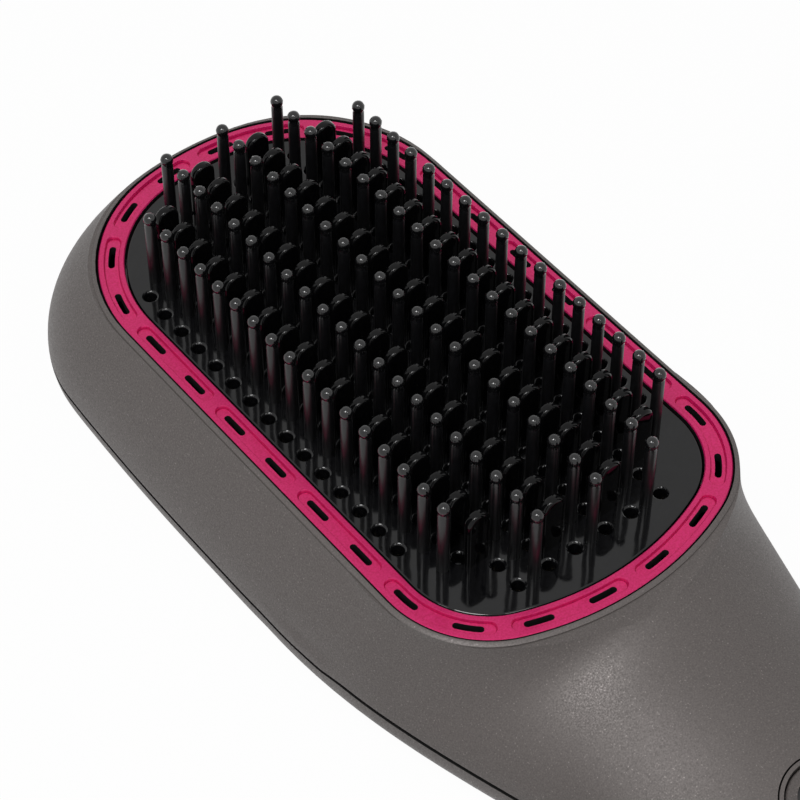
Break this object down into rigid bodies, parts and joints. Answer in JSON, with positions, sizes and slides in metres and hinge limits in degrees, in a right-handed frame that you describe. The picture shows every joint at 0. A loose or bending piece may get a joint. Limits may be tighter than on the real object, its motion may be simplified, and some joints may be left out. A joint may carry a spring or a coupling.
{
  "type": "hair straightening brush",
  "caption": "Electric paddle hair straightening brush: ball-tipped pins and flat hot teeth in a slotted vent ring, on a handle with press buttons and a turning cord gland.",
  "frame": {"origin": "on the flat back that the brush lies on, under the middle of the bristle field", "axes": "+Z the way the bristles point, +Y to the head's tip, the handle runs to -Y, X across the head"},
  "size_m": [0.0766, 0.2947, 0.0446],
  "materials": {
    "housing_paint": "satin metallic grey paint on moulded plastic",
    "ring_fuchsia": "satin fuchsia",
    "plate_black": "gloss black ceramic coating on aluminium",
    "tooth_black": "gloss black ceramic coating",
    "pin_black": "gloss black heat-proof plastic",
    "button_grey": "satin metallic grey paint",
    "lens_clear": "clear light guide",
    "gasket_silicone": "soft translucent silicone",
    "tray_resin": "heat-proof moulded resin",
    "heater_metal": "bare extruded case",
    "clamp_steel": "plain sheet",
    "sheet_mica": "woven insulation",
    "sensor_glass": "sealed amber bead",
    "fuse_sleeve": "white sleeve",
    "board_green": "solder mask",
    "switch_black": "moulded switch case",
    "led_white": "moulded light",
    "capacitor_yellow": "box case",
    "triac_black": "moulded case",
    "screw_steel": "plated",
    "heater_lead": "white silicone insulation",
    "sensor_lead": "red insulation",
    "mains_lead": "brown insulation",
    "swivel_black": "moulded black"
  },
  "bodies": {
    "body": {"front_housing": "housing_paint", "rear_cover": "housing_paint", "vent_ring": "ring_fuchsia", "tooth_plate": "plate_black", "heating_teeth": "tooth_black", "bristle_pins": "pin_black", "plate_gasket": "gasket_silicone", "carrier_frame": "tray_resin", "heater_bars": "heater_metal", "clamp_plate": "clamp_steel", "insulation_sheet": "sheet_mica", "thermistor": "sensor_glass", "thermal_fuse": "fuse_sleeve", "button_bezel": "housing_paint", "indicator_lens": "lens_clear", "control_board": "board_green", "tact_switches": "switch_black", "indicator_leds": "led_white", "filter_capacitor": "capacitor_yellow", "triac": "triac_black", "housing_screws": "screw_steel", "frame_screws": "screw_steel", "board_screws": "screw_steel", "heater_leads": "heater_lead", "sensor_leads": "sensor_lead", "mains_leads": "mains_lead"},
    "power_button": {"power_button": "button_grey"},
    "temp_up_button": {"temp_up_button": "button_grey"},
    "temp_down_button": {"temp_down_button": "button_grey"},
    "cord_swivel": {"cord_swivel": "swivel_black"}
  },
  "joints": [
    {"name": "power_press", "type": "slide", "parent": "body", "child": "power_button", "axis": [0, 0, -1], "range_m": [0, 0.0005], "stiffness_N_per_m": 2500},
    {"name": "temp_up_press", "type": "slide", "parent": "body", "child": "temp_up_button", "axis": [0, 0, -1], "range_m": [0, 0.0005], "stiffness_N_per_m": 2500},
    {"name": "temp_down_press", "type": "slide", "parent": "body", "child": "temp_down_button", "axis": [0, 0, -1], "range_m": [0, 0.0005], "stiffness_N_per_m": 2500},
    {"name": "cord_turn", "type": "hinge", "parent": "body", "child": "cord_swivel", "pos_m": [0, -0.22, 0.01], "axis": [0, 1, 0], "continuous": true}
  ]
}
